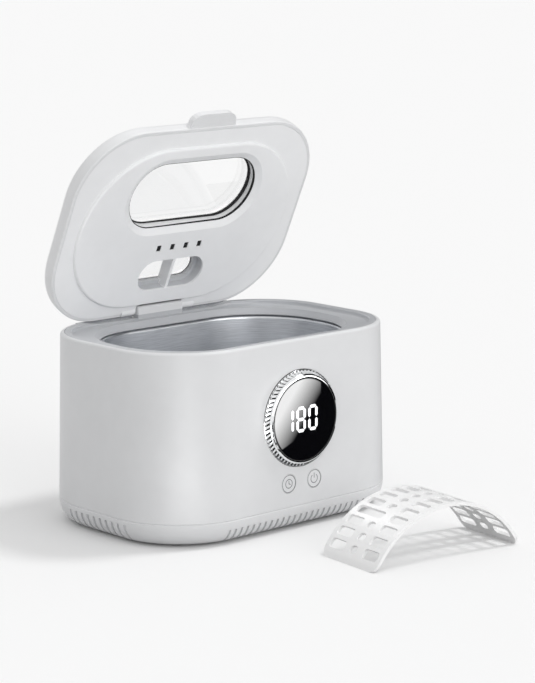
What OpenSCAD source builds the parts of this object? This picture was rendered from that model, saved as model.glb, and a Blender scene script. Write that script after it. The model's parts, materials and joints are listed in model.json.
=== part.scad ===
// Ultrasonic jewellery cleaner with a hinged lid, a steel tank, a round display and a loose basket.
// Frame: X runs right along the front, Y runs to the back, Z is up.
// The origin lies on the table under the middle of the body. All sizes are in millimetres.

/* [Body] */
// Width across the front at the seam
body_w = 190; // [186:1:198]
// Depth from front to back at the seam
body_d = 131; // [129:1:137]
// Height of the rim above the table
rim_h = 110; // [109:1:114]
// Height of the seam between the shell and the base
seam_h = 14; // [13.5:0.5:15]
// Corner radius in plan at the seam
corner_r = 47.7; // [46.7:0.1:49.7]
// How far each wall leans in between the seam and the rim
draft = 2.1; // [1.8:0.1:2.4]
// Thickness of the shell's wall
wall = 2.4; // [2.2:0.1:2.6]
// How far the base curls in under the body
base_curl = 9; // [8:0.5:10]

/* [Tank] */
// Inset of the tank's mouth from the body's sides
tank_side = 20; // [19:0.5:22]
// Inset of the tank's mouth from the body's front and back
tank_front = 17.5; // [17:0.5:19]
// Depth of the tank below its flange
tank_depth = 48.8; // [46:0.2:49]
// Thickness of the tank's steel
tank_t = 1; // [0.8:0.1:1.2]

/* [Display and buttons] */
// Offset of the display and the buttons to the right of the middle line
front_x = 2; // [0:0.5:4]
// Height of the middle of the display
display_z = 64.6; // [62:0.2:67]
// Radius of the bezel's flange
bezel_r = 27.9; // [27.5:0.1:28.5]
// How far the bezel stands out from its seat
bezel_out = 5; // [4.6:0.1:5.6]
// Number of slanted cuts round the bezel
knurls = 64; // [48:2:72]
// Height of a digit
digit_h = 14.8; // [13:0.2:16]
// Radius of a button
button_r = 5.45; // [5:0.05:5.8]
// Distance of each button from the middle line
button_x = 9.8; // [8.8:0.2:11]
// Height of the buttons
button_z = 28; // [26.5:0.5:29.5]

/* [Lid] */
// Angle at which the lid stands open
lid_open = 65; // [0:1:85]
// Height of the closed lid above the rim
lid_rise = 11.2; // [10.8:0.1:12]
// Width of the window
window_w = 94; // [88:1:96]
// Depth of the window
window_d = 43; // [40:1:44]
// Width of the lift tab
tab_w = 33; // [30:1:38]

/* [Basket] */
// Span of the arched basket on the table
basket_span = 103.5; // [100:0.5:108]
// Height of the arch
basket_rise = 31.2; // [29:0.2:33]
// Width of the basket
basket_w = 47.5; // [46.5:0.5:50]
// Thickness of the basket's plate
basket_t = 1.9; // [1.6:0.1:2.2]
// Turn of the basket on the table
basket_turn = -6.7; // [-12:0.1:0]

/* [Hidden] */
$fn = 96;

// Heights that follow from the rim
shell_bottom = seam_h + 0.25;
pan_top = seam_h - 0.05;
ledge_z = rim_h - 8;
deck_z = rim_h - 2.3;
deck_t = 2;
step_z = rim_h - 6.2;
flange_z = rim_h - 7;
tank_floor_z = flange_z - tank_depth;
horn_z = tank_floor_z - tank_t;
relief_z = rim_h - 1.8;
boss_z = seam_h + 5;
pan_floor = 3.8;
pan_bottom = 1.3;
foot_inset = 26;
foot_w = 6;
foot_top = pan_bottom + 0.6;

// Places of the deck, as offsets outward from the body's outline
rim_in = -draft - wall - 0.1;
deck_in = rim_in - 4;
core_in = 0.5 - corner_r;

// The tank's mouth, and places round it as offsets outward from its outline
mouth_w = body_w - 2 * tank_side;
mouth_d = body_d - 2 * tank_front;
mouth_r = min(corner_r - 3.7, mouth_d / 2 - 1);
lip_top = 3;
lip_low = 0.4;
lip_edge = 6.2;
seal_in = 2.6;
seal_out = 5.2;
flange_out = 8.1;
clamp_out = 8.6;

// Hinge and closed lid
pin_y = body_d / 2 - 4.5;
pin_z = rim_h + 2.6;
pin_r = 1.5;
lug_w = 34;
knuckle_end = 27.8;
face_z = rim_h + 0.4;
panel_z = rim_h - 1.4;
cover_z = rim_h + lid_rise;
cover_t = 2.2;
pane_z = cover_z - cover_t - 2;
lid_gap = 3.2;
lid_w = body_w - 2 * (draft + lid_gap);
lid_d = body_d - 2 * (draft + 0.2);
lid_r = corner_r - draft - lid_gap;
window_y = -19.5;
well_y = 34.8;
well_w = 49;
well_d = 20.4;
vent_y = 15.8;
vent = [3.2, 4];
vent_step = 10.3;
panel_inset = [10.4, 9.7];
panel_w = lid_w - 2 * panel_inset.x;
panel_d = lid_d - 2 * panel_inset.y;
panel_y = 2.3;

// Display stack, measured along Y
seat_y = 2.2 - body_d / 2;
lens_r = 23.6;
lens_front = bezel_out - 0.5;
lens_t = 2;
board_y = 11.9 - body_d / 2;
board_t = 1.6;
button_front = -0.1 - body_d / 2 - lean(button_z);
button_flange_y = 3 - body_d / 2;

// Spots that repeat
boss_inset = 13.6;
post_x = 26;
board_z = [20, ledge_z - 8];
post_z = [board_z[0] + 4, board_z[1] - 4];
driver_x = [body_w / 2 - 65, body_w / 2 - 19];
driver_y = body_d / 2 - 29.5;
driver_z = 12;
driver_top = driver_z + board_t;
inlet_x = driver_x[0];
inlet_z = 30;
inlet_face = body_d / 2 + 0.3;
pin_gap = 8.6;

// Transducer stack under the tank: the horn takes up the height that the other pieces leave
ring_h = 4;
plate_t = 0.4;
mass_h = 11;
bolt_head_h = 5.3;
stack_gap = 5.7;
horn_h = horn_z - pan_floor - stack_gap - bolt_head_h - mass_h - 2 * ring_h - 3 * plate_t;
stack_z = horn_z - horn_h;
mass_z = stack_z - 3 * plate_t - 2 * ring_h - mass_h;
bolt_reach = horn_h / 2;

// Basket
basket_spot = [20.8, -142.1];
basket_r = (basket_span * basket_span / 4 + basket_rise * basket_rise) / (2 * basket_rise);
basket_half = asin(basket_span / 2 / basket_r);
row_step = 8.4;
long_row = -3.5;

// Offset of the outer wall at a height: the wall leans in towards the rim
function lean(z) = -draft * (z - seam_h) / (rim_h - seam_h);

// Points of an arc with centre c and the radii r, from angle a0 to a1
function arc(c, r, a0, a1, n = 6) =
    [for (i = [0:n]) let (a = a0 + (a1 - a0) * i / n) [c.x + r.x * cos(a), c.y + r.y * sin(a)]];

// Points of a rectangle with round corners
function rounded(w, d, r, n = 5) = concat(
    arc([w / 2 - r, d / 2 - r], [r, r], 0, 90, n),
    arc([r - w / 2, d / 2 - r], [r, r], 90, 180, n),
    arc([r - w / 2, r - d / 2], [r, r], 180, 270, n),
    arc([w / 2 - r, r - d / 2], [r, r], 270, 360, n));

// A point on the base's curled side, at angle a below the seam, moved outward by off
function curl_point(a, off) = [
    (base_curl + off) * cos(a) - base_curl,
    pan_top - 0.4 - (pan_top - 0.4 - pan_bottom + off) * sin(a)];

// Section of a groove in the base's curled side, from angle a0 down to the flat
function groove_section(a0, n = 4) = concat(
    [for (i = [0:n]) curl_point(a0 + (86 - a0) * i / n, 1)],
    [for (i = [n:-1:0]) curl_point(a0 + (86 - a0) * i / n, -1.2)]);

// Sweeps a section round a rounded rectangle: x is the offset outward from the outline, y the height
module loop(w, d, r) {
    sx = w / 2 - r;
    sy = d / 2 - r;
    for (i = [0:3])
        translate([(i == 0 || i == 3) ? sx : -sx, i < 2 ? sy : -sy, 0])
            rotate([0, 0, 90 * i])
                rotate_extrude(angle = 90) translate([r, 0]) children();
    if (sy > 0.01)
        for (a = [0, 180])
            rotate([0, 0, a]) translate([sx + r, sy, 0])
                rotate([90, 0, 0]) linear_extrude(2 * sy) children();
    if (sx > 0.01)
        for (a = [90, 270])
            rotate([0, 0, a]) translate([sy + r, sx, 0])
                rotate([90, 0, 0]) linear_extrude(2 * sx) children();
}

// Places children on a rounded rectangle's diagonals, moved outward from its corners by off
module at_corners(w, d, r, off) {
    for (i = [0:3])
        translate([((i == 0 || i == 3) ? 1 : -1) * (w / 2 - r), (i < 2 ? 1 : -1) * (d / 2 - r), 0])
            rotate([0, 0, 90 * i + 45]) translate([r + off, 0, 0]) children();
}

// The four screw bosses that join the shell and the base
module boss_spots() {
    at_corners(body_w, body_d, corner_r, -boss_inset) children();
}

// The four screws that hold the tank
module clamp_spots() {
    at_corners(mouth_w, mouth_d, mouth_r, clamp_out) children();
}

// Sweeps a section round the body's outline
module body_loop() {
    loop(body_w, body_d, corner_r) children();
}

// Sweeps a section round the tank's mouth
module mouth_loop() {
    loop(mouth_w, mouth_d, mouth_r) children();
}

// Fills the middle that a loop leaves between its corner centres
module core(w, d, r, z0, z1) {
    translate([r - w / 2 - 1, r - d / 2 - 1, z0]) cube([w - 2 * r + 2, d - 2 * r + 2, z1 - z0]);
}

// A slot with round ends, w long and d wide
module slot_block(w, d, z0, z1) {
    inner = 0.5 - d / 2;
    loop(w, d, d / 2) polygon([[inner, z0], [0, z0], [0, z1], [inner, z1]]);
    core(w, d, d / 2, z0, z1);
}

// A cylinder along Y from y0 to y1
module along_y(x, z, y0, y1, r) {
    translate([x, y1, z]) rotate([90, 0, 0]) cylinder(h = y1 - y0, r = r);
}

// A cylinder along X from x0 to x1
module along_x(x0, x1, y, z, r) {
    translate([x0, y, z]) rotate([0, 90, 0]) cylinder(h = x1 - x0, r = r);
}

// A section in the YZ plane drawn out along X from x0 to x1
module drawn_x(x0, x1) {
    translate([x0, 0, 0]) rotate([90, 0, 90]) linear_extrude(x1 - x0) children();
}

// A screw that points up: its head's top face lies at z
module screw(z, head_r, head_h, shank_r, length) {
    difference() {
        translate([0, 0, z - head_h]) cylinder(h = head_h, r = head_r);
        for (a = [0, 90])
            rotate([0, 0, a]) translate([-head_r * 0.6, -0.35, z - head_h - 1])
                cube([head_r * 1.2, 0.7, 1.9]);
    }
    translate([0, 0, z - 0.2]) cylinder(h = length + 0.2, r = shank_r);
}

// A wire of round section along a list of points
module wire(points, r) {
    for (i = [0:len(points) - 2]) {
        v = points[i + 1] - points[i];
        translate(points[i])
            rotate([0, acos(v.z / norm(v)), atan2(v.y, v.x)]) cylinder(h = norm(v), r = r, $fn = 24);
    }
    for (i = [1:len(points) - 2])
        translate(points[i]) sphere(r = r * 1.12, $fn = 24);
}

// Sweeps a section round the closed lid's outline
module lid_loop() {
    loop(lid_w, lid_d, lid_r) children();
}

// The lid panel's outline as a block, smaller all round by an inset
module panel_block(inset, z0, z1) {
    translate([0, panel_y, 0]) slot_block(panel_w - 2 * inset, panel_d - 2 * inset, z0, z1);
}

// Turns the closed lid open about its pin
module opened() {
    translate([0, pin_y, pin_z])
        rotate([-lid_open, 0, 0])
            translate([0, -pin_y, -pin_z]) children();
}

// Moulded outer shell with its rim, screw bosses and board posts
module outer_shell() {
    section = concat(
        [[lean(shell_bottom) - 0.4, shell_bottom], [lean(shell_bottom), shell_bottom + 0.4]],
        arc([-draft - 1.6, rim_h - 1.6], [1.6, 1.6], 0, 90),
        [[-draft - wall, rim_h],
         [lean(ledge_z) - wall, ledge_z],
         [deck_in - 0.6, ledge_z],
         [deck_in - 0.6, ledge_z - 1.5],
         [lean(ledge_z - 4.5) - wall, ledge_z - 4.5],
         [lean(shell_bottom) - wall, shell_bottom]]);
    color("whitesmoke") difference() {
        union() {
            body_loop() polygon(section);
            boss_spots() translate([0, 0, boss_z]) {
                cylinder(h = 27, r = 4.5);
                translate([0, -1.1, 0]) cube([boss_inset - 1.2, 2.2, 27]);
            }
            for (x = [-post_x, post_x], z = post_z)
                along_y(x, z, 2.3 - body_d / 2, board_y, 3);
        }
        boss_spots() translate([0, 0, boss_z - 1]) cylinder(h = 18, r = 1.5);
        for (x = [-post_x, post_x], z = post_z)
            along_y(x, z, board_y - 9, board_y + 1, 1);
        along_y(front_x, display_z, -body_d / 2 - 1, 12 - body_d / 2, bezel_r - 2.7);
        along_y(front_x, display_z, -body_d / 2 - 1, seat_y, bezel_r + 0.2);
        for (x = [front_x - button_x, front_x + button_x])
            along_y(x, button_z, -body_d / 2 - 1, 8 - body_d / 2, button_r + 0.15);
        translate([inlet_x - 10.2, body_d / 2 - 6, inlet_z - 5.7]) cube([20.4, 8, 11.4]);
        translate([inlet_x - 13.7, inlet_face - 1.6, inlet_z - 8.2]) cube([27.4, 4, 16.4]);
        rear_relief();
    }
}

// Shallow cut along the rear rim that lets the lid's back edge swing down
module rear_relief() {
    translate([0, body_d / 2 + 1, 0]) rotate([90, 0, 0]) linear_extrude(16)
        polygon([[-46, relief_z], [46, relief_z], [66, rim_h + 1], [-66, rim_h + 1]]);
}

// Base with curled sides, grooves, screw pillars and board standoffs
module base_pan() {
    lip_out = lean(shell_bottom) - wall - 0.15;
    lip_in = lip_out - 1.3;
    outer = [for (a = [0:7.5:90]) curl_point(a, 0)];
    inner = arc([lip_in - 7.6, 12.5], [7.6, 12.5 - pan_floor], -90, 0);
    section = concat(
        [[lip_out, pan_top], [-0.4, pan_top]], outer,
        [[core_in, pan_bottom], [core_in, pan_floor]], inner,
        [[lip_in, seam_h + 4], [lip_out, seam_h + 4]]);
    color("whitesmoke") difference() {
        union() {
            body_loop() polygon(section);
            core(body_w, body_d, corner_r, pan_bottom, pan_floor);
            boss_spots()
                translate([0, 0, pan_floor - 1]) cylinder(h = boss_z - pan_floor + 1, r = 4.5);
            driver_spots() translate([0, 0, pan_floor - 1]) cylinder(h = driver_z - pan_floor + 1, r = 3);
        }
        boss_spots() {
            cylinder(h = boss_z + 1, r = 1.7);
            cylinder(h = 6, r = 3.3);
        }
        driver_spots() translate([0, 0, pan_floor + 1]) cylinder(h = 12, r = 1.2);
        foot_loop()
            polygon([[-foot_w - 0.1, 0], [0.1, 0], [0.1, foot_top + 0.1], [-foot_w - 0.1, foot_top + 0.1]]);
        base_grooves();
    }
}

// Grooves that follow the curl of the base, on the long and the short sides
module base_grooves() {
    front_cut = groove_section(22);
    side_cut = groove_section(10);
    for (turn = [0, 180])
        rotate([0, 0, turn]) {
            for (i = [-11.5:11.5])
                translate([i * 4.5, body_d / 2, 0])
                    rotate([90, 0, 90]) translate([0, 0, -0.85]) linear_extrude(1.7) polygon(front_cut);
            for (i = [-4.5:4.5])
                translate([body_w / 2, i * 5.4, 0])
                    rotate([90, 0, 0]) translate([0, 0, -1.1]) linear_extrude(2.2) polygon(side_cut);
        }
}

// Sweeps a section round the line of the non-slip ring
module foot_loop() {
    loop(body_w - 2 * foot_inset, body_d - 2 * foot_inset, corner_r - foot_inset) children();
}

// The four corners of the driver board
module driver_spots() {
    for (x = [driver_x[0] + 5, driver_x[1] - 5], y = [5 - driver_y, driver_y - 5])
        translate([x, y, 0]) children();
}

// Rubber ring pressed into the base, which the cleaner stands on
module foot_ring() {
    color("dimgray") foot_loop()
        polygon([[-foot_w, 0.4], [0.4 - foot_w, 0], [-0.4, 0], [0, 0.4],
                 [0, foot_top], [-foot_w, foot_top]]);
}

// Four screws that draw the base to the shell
module base_screws() {
    color("silver") boss_spots() screw(6, 3, 2.2, 1.45, 28);
}

// Deck inside the rim, with a bevelled lip down to the tank and the hinge lug
module deck_ring() {
    foot_r = 1.2;
    rim = concat(
        [[rim_in, ledge_z], [rim_in, rim_h - 0.3], [rim_in - 0.3, rim_h], [deck_in + 0.5, rim_h],
         [deck_in, rim_h - 0.5]],
        arc([deck_in - foot_r, deck_z + foot_r], [foot_r, foot_r], 0, -90, 3),
        [[deck_in - foot_r, deck_z - deck_t], [deck_in, deck_z - deck_t], [deck_in, ledge_z]]);
    plate = [[core_in, deck_z - deck_t], [deck_in, deck_z - deck_t], [deck_in, deck_z], [core_in, deck_z]];
    lip = [[lip_top, deck_z], [lip_low, step_z + 0.5], [lip_low, step_z],
           [lip_edge, step_z], [lip_edge, deck_z]];
    lug = concat(
        [[pin_y - 5, deck_z - 1], [pin_y - 0.1, deck_z - 1], [pin_y - 0.1, relief_z + 0.6],
         [pin_y + 1.8, relief_z + 0.6]],
        arc([pin_y, pin_z], [3, 3], -25, 85, 7),
        arc([pin_y - 3.5, pin_z + 1.3], [1.5, 1.5], 90, 180, 3));
    color("gainsboro") difference() {
        union() {
            difference() {
                union() {
                    body_loop() polygon(rim);
                    deck_plate(plate);
                    mouth_loop() polygon(lip);
                    clamp_spots()
                        translate([0, 0, flange_z]) cylinder(h = deck_z - 0.8 - flange_z, r = 3.2);
                }
                rear_relief();
            }
            drawn_x(-lug_w / 2, lug_w / 2) polygon(lug);
        }
        along_x(-lug_w, lug_w, pin_y, pin_z, pin_r);
        clamp_spots() translate([0, 0, flange_z - 1]) cylinder(h = 4, r = 1.2);
    }
}

// The deck's flat plate: a slab with the given section, open over the tank
module deck_plate(section) {
    off = lip_top + 0.5;
    size = [mouth_w + 2 * off, mouth_d + 2 * off, mouth_r + off];
    inner = 0.5 - size[2];
    z = [deck_z - deck_t - 1, deck_z + 1];
    difference() {
        union() {
            body_loop() polygon(section);
            core(body_w, body_d, corner_r, deck_z - deck_t, deck_z);
        }
        loop(size.x, size.y, size[2]) polygon([[inner, z[0]], [0, z[0]], [0, z[1]], [inner, z[1]]]);
        core(size.x, size.y, size[2], z[0], z[1]);
    }
}

// Deep-drawn steel tank with a rolled mouth, a flat flange and an ear for each screw
module tank() {
    low = -2;
    fillet = 9;
    middle = 0.5 - mouth_r;
    r_in = [fillet, fillet];
    r_out = [fillet + tank_t, fillet + tank_t];
    section = concat(
        [[flange_out, flange_z - tank_t], [flange_out, flange_z]],
        arc([1.4, flange_z - 1.4], [-1.4, 1.4], 90, 0, 4),
        arc([low - fillet, tank_floor_z + fillet], r_in, 0, -90, 6),
        [[middle, tank_floor_z], [middle, horn_z]],
        arc([low - fillet, tank_floor_z + fillet], r_out, -90, 0, 6),
        [[tank_t, flange_z - 1.6], [1.4, flange_z - tank_t]]);
    color("lightgray") difference() {
        union() {
            mouth_loop() polygon(section);
            core(mouth_w, mouth_d, mouth_r, horn_z, tank_floor_z);
            clamp_spots() translate([0, 0, flange_z - tank_t]) cylinder(h = tank_t, r = 4);
        }
        clamp_spots() translate([0, 0, flange_z - 3]) cylinder(h = 6, r = 1.5);
    }
}

// Soft ring between the deck's lip and the tank's flange
module tank_gasket() {
    color("gray") mouth_loop()
        polygon([[seal_in, flange_z], [seal_out, flange_z], [seal_out, step_z], [seal_in, step_z]]);
}

// Four screws that hold the tank's flange up against the gasket
module tank_screws() {
    color("silver") clamp_spots() screw(flange_z - tank_t, 2.6, 1.6, 1.15, 3.4);
}

// Aluminium horn of the transducer, bonded under the tank
module horn_block() {
    flange_h = 3;
    color("lightgray") difference() {
        union() {
            translate([0, 0, horn_z - flange_h]) cylinder(h = flange_h, r = 20);
            translate([0, 0, stack_z]) cylinder(h = horn_h - flange_h, r1 = 17, r2 = 20);
        }
        translate([0, 0, stack_z - 1]) cylinder(h = bolt_reach + 2, r = 4.05);
    }
}

// Two ceramic rings that drive the horn
module piezo_rings() {
    color("darkgray") for (i = [1, 2])
        translate([0, 0, stack_z - i * (plate_t + ring_h)]) difference() {
            cylinder(h = ring_h, r = 16);
            translate([0, 0, -1]) cylinder(h = ring_h + 2, r = 6.5);
        }
}

// Height of a contact plate's underside, counted from the horn
function plate_z(i) = stack_z - plate_t - i * (plate_t + ring_h);

// Turn of a contact plate's solder tab
function tab_turn(i) = 25 * i - 25;

// Three thin contact plates between the rings, each with a solder tab
module electrode_plates() {
    color("goldenrod") for (i = [0:2])
        translate([0, 0, plate_z(i)]) difference() {
            union() {
                cylinder(h = plate_t, r = 16);
                rotate([0, 0, tab_turn(i)]) translate([14, -2, 0]) cube([8, 4, plate_t]);
            }
            translate([0, 0, -1]) cylinder(h = 3, r = 6.5);
        }
}

// Steel weight behind the ceramic rings
module back_mass() {
    color("slategray") translate([0, 0, mass_z]) difference() {
        cylinder(h = mass_h, r = 16);
        translate([0, 0, -1]) cylinder(h = mass_h + 2, r = 4.05);
    }
}

// Bolt that clamps the transducer's stack
module transducer_bolt() {
    color("dimgray") {
        translate([0, 0, mass_z - bolt_head_h]) cylinder(h = bolt_head_h, r = 7, $fn = 6);
        translate([0, 0, mass_z - 0.2]) cylinder(h = stack_z + bolt_reach - mass_z + 0.2, r = 4);
    }
}

// Circuit board that drives the transducer
module driver_board() {
    color("darkgreen") difference() {
        translate([driver_x[0], -driver_y, driver_z])
            cube([driver_x[1] - driver_x[0], 2 * driver_y, board_t]);
        driver_spots() translate([0, 0, driver_z - 1]) cylinder(h = 4, r = 1.5);
    }
}

// Four screws of the driver board, pointing down
module driver_screws() {
    color("silver") driver_spots()
        translate([0, 0, driver_top]) mirror([0, 0, 1]) screw(0, 2.4, 1.6, 1.15, 7);
}

// Ferrite transformer: a core with its winding
module transformer() {
    color("saddlebrown") translate([driver_x[0] + 22, 20 - driver_y, driver_top]) {
        for (z = [0, 17])
            translate([-10, -10, z]) cube([20, 20, 5]);
        for (x = [-10, 6])
            translate([x, -10, 5]) cube([4, 20, 12]);
        translate([0, 0, 5]) cylinder(h = 12, r = 5.5);
    }
}

// Two filter capacitors standing on the driver board
module capacitors() {
    color("midnightblue") for (y = [29, 15])
        translate([driver_x[0] + 39, driver_y - y, driver_top]) {
            cylinder(h = 22, r = 6);
            translate([0, 0, 22]) cylinder(h = 0.8, r1 = 6, r2 = 5.2);
        }
}

// Finned heat sink on the driver board
module heat_sink() {
    color("gray") translate([driver_x[0] + 6, driver_y - 28, driver_top]) {
        cube([3, 20, 24]);
        for (i = [0:3])
            translate([2.9, i * 5.8, 0]) cube([9.1, 2.6, 24]);
    }
}

// Two-pole mains inlet with a round-ended socket
module power_inlet() {
    color("black") translate([inlet_x, inlet_face, inlet_z]) rotate([-90, 0, 0]) difference() {
        union() {
            translate([0, 0, -1.6]) linear_extrude(1.6) polygon(rounded(27, 16, 2));
            translate([-10, -5.5, -19]) cube([20, 11, 17.6]);
        }
        slot_block(16.4, 8.6, -12.5, 1);
        for (x = [-pin_gap / 2, pin_gap / 2])
            translate([x, 0, -20]) cylinder(h = 10, r = 1.2);
    }
}

// Two round contact pins of the inlet
module inlet_pins() {
    color("silver") for (x = [-pin_gap / 2, pin_gap / 2])
        along_y(inlet_x + x, inlet_z, inlet_face - 22, inlet_face - 2.6, 1.2);
}

// Two leads from the inlet to the driver board
module mains_leads() {
    end_gap = 0.1;
    color("firebrick") for (side = [-1, 1]) {
        x = inlet_x + side * pin_gap / 2;
        down = [driver_x[0] + 18 + side * 4, driver_y - 3];
        wire([[x, inlet_face - 22 - end_gap, inlet_z], [x, inlet_face - 27, inlet_z],
              [down.x, down.y, 25], [down.x, down.y, driver_top + end_gap]], 1);
    }
}

// Two leads from the driver board to the transducer's tabs
module transducer_leads() {
    end_gap = 0.1;
    color("gold") for (i = [0, 1]) {
        tab = [21 * cos(tab_turn(i)), 21 * sin(tab_turn(i))];
        start = [driver_x[0] + 9.2, 2 - driver_y + 4 * i];
        wire([[start.x, start.y, driver_top + end_gap], [start.x, start.y, 22],
              [tab.x, tab.y, 24], [tab.x, tab.y, plate_z(i) - end_gap]], 0.8);
    }
}

// Flat cable from the control board down to the driver board
module display_ribbon() {
    down = 6 - driver_y;
    path = [[board_y + board_t, 30], [board_y + 8, 30], [board_y + 8, 21], [down, 21],
            [down, driver_top], [down + 1, driver_top], [down + 1, 22], [board_y + 9, 22],
            [board_y + 9, 31], [board_y + board_t, 31]];
    color("lightsteelblue") drawn_x(driver_x[0] + 12, driver_x[0] + 24) polygon(path);
}

// Upright circuit board behind the front wall
module control_board() {
    color("darkgreen") difference() {
        translate([-post_x - 6, board_y, board_z[0]])
            cube([driver_x[0] + post_x + 36, board_t, board_z[1] - board_z[0]]);
        for (x = [-post_x, post_x], z = post_z)
            along_y(x, z, board_y - 1, board_y + 4, 1.2);
    }
}

// Four screws of the control board
module control_screws() {
    color("silver") for (x = [-post_x, post_x], z = post_z)
        translate([x, board_y + board_t, z]) rotate([90, 0, 0])
            screw(0, 2.1, 1.5, 0.95, 9);
}

// Two push switches behind the buttons
module tact_switches() {
    color("black") for (x = [front_x - button_x, front_x + button_x]) {
        translate([x - 3, board_y - 3.5, button_z - 3]) cube([6, 3.5, 6]);
        along_y(x, button_z, board_y - 4.3, board_y - 3.4, 1.75);
    }
}

// Block behind the lens that holds the digits' lamps
module display_module() {
    y0 = seat_y - lens_front + lens_t;
    color("black") translate([front_x - 18, y0, display_z - 11]) cube([36, board_y - y0, 22]);
}

// Bright ring round the display, with slanted cuts on its cone
module display_bezel() {
    flange_h = 1.4;
    cone_top = bezel_out - 1.7;
    cone_in = 1.2;
    section = concat(
        [[22.6, -2.5], [bezel_r - 2.8, -2.5], [bezel_r - 2.8, 0], [bezel_r, 0], [bezel_r, flange_h - 0.4],
         [bezel_r - 0.4, flange_h], [bezel_r - 0.7, flange_h]],
        arc([bezel_r - 2.2 - cone_in, cone_top], [1.5, bezel_out - cone_top], 0, 90, 5),
        [[lens_r + 0.1, bezel_out - 0.2], [lens_r + 0.1, lens_front - lens_t],
         [22.6, lens_front - lens_t]]);
    cone_mid = [bezel_r - 0.7 - cone_in / 2, (flange_h + cone_top) / 2];
    cone_lean = atan2(cone_in, cone_top - flange_h);
    color("silver") translate([front_x, seat_y, display_z]) rotate([90, 0, 0]) difference() {
        rotate_extrude() polygon(section);
        for (i = [0:knurls - 1])
            rotate([0, 0, i * 360 / knurls]) translate([cone_mid.x, 0, cone_mid.y])
                rotate([38, 0, 0]) rotate([0, -cone_lean, 0]) rotate([0, 0, 45])
                    cube([1.3, 1.3, 3.2], center = true);
    }
}

// One bar of a digit: a flat hexagon along x, or along y when it stands
module digit_bar(at, standing, grow) {
    length = (standing ? digit_h / 2 : 6.6) - 1.6 + 2 * grow;
    half = 0.9 + grow;
    translate(at) rotate([0, 0, standing ? 90 : 0])
        polygon([[-length / 2, 0], [half - length / 2, half], [length / 2 - half, half],
                 [length / 2, 0], [length / 2 - half, -half], [half - length / 2, -half]]);
}

// The lit bars of the three digits, with bars wider by grow
module lit_bars(grow = 0) {
    up = digit_h / 4 - 0.45;
    for (s = [-1, 1])
        digit_bar([-9.2, s * up], true, grow);
    for (x = [-2.7, 6.4]) {
        for (mx = [-2.7, 2.7], s = [-1, 1])
            digit_bar([x + mx, s * up], true, grow);
        for (s = [-1, 1])
            digit_bar([x, s * 2 * up], false, grow);
    }
    digit_bar([-2.7, 0], false, grow);
}

// Dark lens with an opening for each bar
module display_lens() {
    color("black") translate([front_x, seat_y, display_z]) rotate([90, 0, 0]) difference() {
        union() {
            translate([0, 0, lens_front - lens_t]) cylinder(h = lens_t - 0.4, r = lens_r);
            translate([0, 0, lens_front - 0.4]) cylinder(h = 0.4, r1 = lens_r, r2 = lens_r - 0.4);
        }
        translate([0, 0, lens_front - lens_t - 1]) linear_extrude(lens_t + 2) lit_bars(0.04);
    }
}

// Light bars of the digits, flush with the lens
module digit_segments() {
    color("white") translate([front_x, seat_y, display_z]) rotate([90, 0, 0])
        translate([0, 0, lens_front - lens_t]) linear_extrude(lens_t + 0.03) lit_bars();
}

// A push button: cap, flange behind the wall and stem
module push_button(x) {
    color("whitesmoke") {
        along_y(x, button_z, button_front + 0.25, button_flange_y + 0.1, button_r);
        translate([x, button_front + 0.25, button_z]) rotate([90, 0, 0])
            cylinder(h = 0.25, r1 = button_r, r2 = button_r - 0.25);
        along_y(x, button_z, button_flange_y, button_flange_y + 1.2, button_r + 1.5);
        along_y(x, button_z, button_flange_y + 1.1, board_y - 5.2, 1.6);
    }
}

// Left button, which sets the time
module timer_button() {
    push_button(front_x - button_x);
}

// Right button, which switches the cleaner on and off
module power_button() {
    push_button(front_x + button_x);
}

// Steel pin that the lid turns on
module hinge_pin() {
    color("silver") along_x(0.2 - knuckle_end, knuckle_end - 0.2, pin_y, pin_z, pin_r);
}

// Outer cover of the lid with the lift tab, both window openings and a gap for the hinge
module lid_cover() {
    round_r = 6;
    round_in = [round_r - cover_t, round_r - cover_t];
    middle = 0.5 - lid_r;
    section = concat(
        [[-cover_t, face_z], [-0.8, face_z]],
        arc([-0.8, face_z + 0.8], [0.8, 0.8], -90, 0, 3),
        arc([-round_r, cover_z - round_r], [round_r, round_r], 0, 90, 8),
        [[middle, cover_z], [middle, cover_z - cover_t]],
        arc([-round_r, cover_z - round_r], round_in, 90, 0, 6));
    tab_round = [8, 5.4];
    tab = concat(
        [[-tab_w / 2 - 3, 0], [tab_w / 2 + 3, 0]],
        arc([tab_w / 2 + 3, -4.4], [-3, 3], 90, 0, 3),
        arc([tab_w / 2 - tab_round.x, -5], tab_round, 0, -90, 5),
        arc([tab_round.x - tab_w / 2, -5], tab_round, -90, -180, 5),
        arc([-tab_w / 2 - 3, -4.4], [3, 3], 0, 90, 3));
    color("whitesmoke") opened() difference() {
        union() {
            lid_loop() polygon(section);
            core(lid_w, lid_d, lid_r, cover_z - cover_t, cover_z);
            translate([0, 2 - lid_d / 2, face_z + 0.6]) linear_extrude(3.8) polygon(tab);
        }
        translate([0, window_y, 0]) slot_block(window_w, window_d, cover_z - 5, cover_z + 5);
        translate([0, well_y, 0]) slot_block(well_w - 5, well_d - 5, cover_z - 5, cover_z + 5);
        translate([-knuckle_end - 0.5, pin_y - 6.4, face_z - 3]) cube([2 * knuckle_end + 1, 20, 9]);
    }
}

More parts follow.
